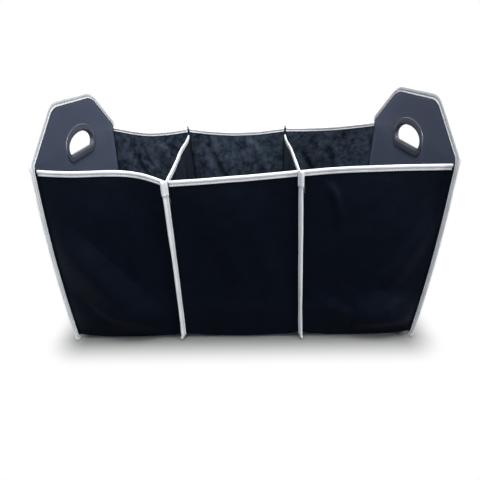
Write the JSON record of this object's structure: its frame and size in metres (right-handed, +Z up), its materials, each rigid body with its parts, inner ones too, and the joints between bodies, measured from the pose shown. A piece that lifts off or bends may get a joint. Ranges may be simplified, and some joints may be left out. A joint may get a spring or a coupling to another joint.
{
  "type": "car trunk organizer",
  "caption": "Open folding storage box of dark non-woven cloth bound with white tape, with soft dividers and stiff raised end panels with grip holes.",
  "frame": {"origin": "on the ground under the middle of the organizer", "axes": "+X along the row of compartments towards the right end, -Y towards the front, +Z up"},
  "size_m": [0.5297, 0.3305, 0.33],
  "materials": {
    "cloth": "matte non-woven cloth, near black with a blue tint",
    "tape": "white woven binding tape",
    "card": "grey-brown stiffener card, hidden between two cloths",
    "covered_card": "card covered in the same dark cloth",
    "plastic": "black moulded plastic, satin"
  },
  "bodies": {
    "root": {"strip_left": "cloth", "strip_centre": "cloth", "strip_right": "cloth", "rim_tape_front_left": "tape", "rim_tape_back_left": "tape", "rim_tape_front_centre": "tape", "rim_tape_back_centre": "tape", "rim_tape_front_right": "tape", "rim_tape_back_right": "tape", "divider_left": "cloth", "divider_tape_left": "tape", "divider_right": "cloth", "divider_tape_right": "tape", "seam_tape_left": "tape", "seam_tape_right": "tape", "end_board_left": "card", "end_cloth_outer_left": "cloth", "end_cloth_inner_left": "cloth", "end_tape_left": "tape", "pocket_left": "cloth", "pocket_tape_left": "tape", "handle_outer_left": "plastic", "handle_inner_left": "plastic", "end_board_right": "card", "end_cloth_outer_right": "cloth", "end_cloth_inner_right": "cloth", "end_tape_right": "tape", "pocket_right": "cloth", "pocket_tape_right": "tape", "handle_outer_right": "plastic", "handle_inner_right": "plastic", "floor_board_left": "covered_card", "floor_board_centre": "covered_card", "floor_board_right": "covered_card"}
  },
  "joints": []
}
